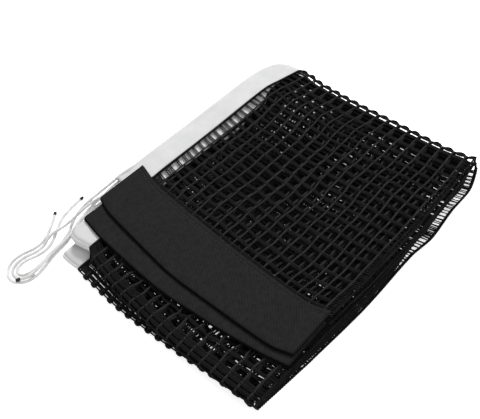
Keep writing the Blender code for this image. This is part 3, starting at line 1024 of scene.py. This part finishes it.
def smooth_route(points, spacing):
    """Points evenly spaced along a Catmull-Rom curve through a route's own points."""
    knots = [Vector(p) * MM for p in points]
    knots = [2 * knots[0] - knots[1], *knots, 2 * knots[-1] - knots[-2]]
    fine = []
    for a, b, c, d in zip(knots, knots[1:], knots[2:], knots[3:]):
        for step in range(ROUTE_STEPS):
            t = step / ROUTE_STEPS
            fine.append(
                0.5 * (
                    2 * b
                    + (c - a) * t
                    + (2 * a - 5 * b + 4 * c - d) * t ** 2
                    + (3 * b - 3 * c + d - a) * t ** 3
                )
            )
    fine.append(knots[-2])
    fine = np.array(fine)
    travelled = np.concatenate([[0], np.cumsum(np.linalg.norm(np.diff(fine, axis=0), axis=1))])
    at = np.linspace(0, travelled[-1], max(2, round(travelled[-1] / spacing) + 1))
    return np.stack([np.interp(at, travelled, fine[:, k]) for k in range(3)], axis=1)


def frames_along(points):
    """Unit vectors ahead, to the side and upwards at each point of a route that never runs
    straight up."""
    ahead = np.gradient(points, axis=0)
    ahead /= np.linalg.norm(ahead, axis=1)[:, None]
    side = np.cross(ahead, (0.0, 0.0, 1.0))
    side /= np.linalg.norm(side, axis=1)[:, None]
    return ahead, side, np.cross(side, ahead)


def rings_round(points, side, lift, across, up):
    """One tube round a route, from its sections' offsets to the side and upwards."""
    rings = points[:, None] + side[:, None] * across[..., None] + lift[:, None] * up[..., None]
    return rings[None]


def braid_cord(name, route, material):
    """A round braid with raised strands, and the route that it follows."""
    points = smooth_route(route, BRAID_SPACING * MM)
    _, side, lift = frames_along(points)
    along = np.arange(len(points)) * BRAID_SPACING
    angle = angles_round(BRAID_SIDES)
    twist = 2 * math.pi * along[:, None] / BRAID_PITCH
    strands = np.maximum(np.cos(2 * angle + twist), np.cos(2 * angle - twist + math.pi))
    radius = (CORD_DIAMETER / 2 - BRAID_GROUND + BRAID_STRAND * strands) * MM
    rings = rings_round(points, side, lift, radius * np.cos(angle), radius * np.sin(angle))
    threads = Threads()
    threads.tubes(rings / MM)
    cord = threads.piece("cord_" + name, [material])
    layer = cord.data.uv_layers.new(name="UVMap")
    corner = np.zeros(len(cord.data.loops), np.int32)
    cord.data.loops.foreach_get("vertex_index", corner)
    round_it = CORD_DIAMETER * angle[corner % BRAID_SIDES] / 2
    uv = np.stack([along[corner // BRAID_SIDES], round_it], axis=1)
    layer.data.foreach_set("uv", uv.astype(np.float32).ravel())
    return cord, points


def seal_tip(name, points, material):
    """The melted end, just past the end of a cord."""
    ahead, side, lift = (vectors[-1:] for vectors in frames_along(points))
    share, width = np.array(TIP_PROFILE).T[:, :, None]
    angle = angles_round(20)
    lumpy = 1.0 + TIP_LUMPS * np.sin(3 * angle + 9 * share)
    radius = TIP_DIAMETER / 2 * width * lumpy * MM
    start = points[-1] + ahead * TIP_CLEARANCE * MM
    centres = start + ahead * share * (TIP_LENGTH + TIP_GAP) * MM
    rings = rings_round(centres, side, lift, radius * np.cos(angle), radius * np.sin(angle))
    threads = Threads()
    threads.tubes(rings / MM)
    return threads.piece("tip_" + name, [material])


def make_cords():
    """The four tails and their tips. The fourth tip is out of sight and taken as plain."""
    braid = cord_material()
    sealed = tip_material("sealed_tip", (0.012, 0.011, 0.010), (0.045, 0.040, 0.036))
    plain = tip_material("plain_tip", (0.50, 0.49, 0.47), (0.72, 0.71, 0.69))
    for name, route in CORD_ROUTES.items():
        finish, tip_slot = (plain, "plain_tip") if name == "4" else (sealed, "sealed_tip")
        cord, points = braid_cord(name, route, braid)
        tip = seal_tip(name, points, finish)
        for piece, node, kind in (
            (cord, "cord_tail_" + name, "cord_braid"),
            (tip, "cord_tip_" + name, tip_slot),
        ):
            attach(piece, "panel_1")
            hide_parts(node)


# ==== Putting it together ====
# name: (upper ply, lower ply, bulge of the net, bulge of the tape, how far the cross strand on the
# outermost line stands off or None for an inner arc, sizes of the knots, on the right side)
ARCS = {
    "top_fold_a": ("1a", "2a", 1.3, 0.9, 2.0, (1.1, -1.5, 0.75), True),
    "top_fold_b": ("1b", "2b", 0.8, 0.8, None, None, True),
    "middle_fold_b": ("2b", "3b", 0.8, 1.0, 0.2, (2.4, -2.4, 1.4), False),
    "middle_fold_a": ("2a", "3a", 0.6, 0.6, None, None, False),
    "bottom_fold_a": ("3a", "4a", 0.8, 0.9, 0.6, None, True),
    "bottom_fold_b": ("3b", "4b", 0.8, 0.8, None, None, True),
    "net_bend": ("4b", "4a", 0.8, 0.9, 0.2, (2.4, -1.8, 1.8), False),
}


def attach_arc(piece, upper, lower):
    """An arc rides on its plies' panel; between two panels it is baked where it lies and rides on
    neither.
    """
    if upper.panel == lower.panel:
        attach(piece, upper.panel)
    else:
        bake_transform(piece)


def make_net():
    """The plies and the folds between them, each with its length of tape."""
    knit = [net_chain_material(), net_yarn_material()]
    woven = [tape_material()]
    plies = {name: Ply(name, *sides) for name, sides in PLIES.items()}
    for name, ply in plies.items():
        width = ply.span()
        net = knit_ply(ply).piece("net_" + name, knit)
        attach(net, ply.panel)
        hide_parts("net_panel_" + name)
        under_sleeve = UNDER_SLEEVE if name == "1a" else 0.0
        strip = weave_tape(ply, -under_sleeve, TAPE_STATIONS)
        if name == "1a":
            route = smooth_route(CORD_ROUTES["1"], ROLL_SPACING * MM) / MM
            cover_cord(strip, route[route[:, 0] > TAPE_END_X])
        tape = strip.piece("tape_" + name, woven)
        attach(tape, ply.panel)
        cords = [f"tape_cord_{name}_{n}" for n in (1, 2)]
        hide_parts("top_tape_" + name, *cords)
    for name, (upper, lower, net_bulge, tape_bulge, lens, knots, right) in ARCS.items():
        upper = plies[upper]
        lower = plies[lower]
        threads = knit_arc(Arc(upper, lower, net_bulge, right), lens, knots)
        net = threads.piece("net_" + name, knit)
        strip = weave_tape(Arc(upper, lower, tape_bulge, right), 0.0, TAPE_ARC_STATIONS)
        tape = strip.piece("tape_" + name, woven)
        for piece, kind in ((net, "net_yarn"), (tape, "tape_weave")):
            attach_arc(piece, upper, lower)
        if name == "net_bend":
            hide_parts("net_middle_bend")
            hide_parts("tape_middle_bend")


def make_sleeves():
    # The third material is the near-black strip of painted shadow under the sleeves' left edges.
    materials = [sleeve_material(), stitch_material(), painted_shadow_strip_material()]
    for half, sizes in SLEEVES.items():
        sleeve = sew_sleeve(Sleeve(half, **sizes)).piece("sleeve_" + half, materials)
        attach(sleeve, "panel_1")
        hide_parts(*(f"post_sleeve_{half}_{p}" for p in ("front", "back", "fold", "seam")))


def make_studio():
    """A pale floor under soft light from all round and from three lamps."""
    mesh = bpy.data.meshes.new("floor")
    corners = [
        (FLOOR_REACH * x, FLOOR_REACH * y, 0) for x, y in ((-1, -1), (1, -1), (1, 1), (-1, 1))
    ]
    mesh.from_pydata(corners, [], [(0, 1, 2, 3)])
    mesh.materials.append(floor_material())
    floor = add_object("floor", mesh)
    floor.location.z = -FLOOR_DROP

    for name, (place, power, size) in LAMPS.items():
        light = bpy.data.lights.new(name, "AREA")
        light.shape = "DISK"
        light.size = size
        light.energy = power
        lamp = add_object(name, light)
        lamp.location = place
        lamp.rotation_euler = (-Vector(place)).to_track_quat("-Z", "Y").to_euler()

    world = bpy.data.worlds.new("studio")
    world.use_nodes = True
    background = world.node_tree.nodes["Background"]
    background.inputs["Color"].default_value = (1.0, 1.0, 1.0, 1.0)
    background.inputs["Strength"].default_value = SKY_STRENGTH
    bpy.context.scene.world = world
    bpy.context.scene.view_settings.view_transform = "Standard"


make_camera()
make_cords()
make_net()
make_sleeves()
make_studio()
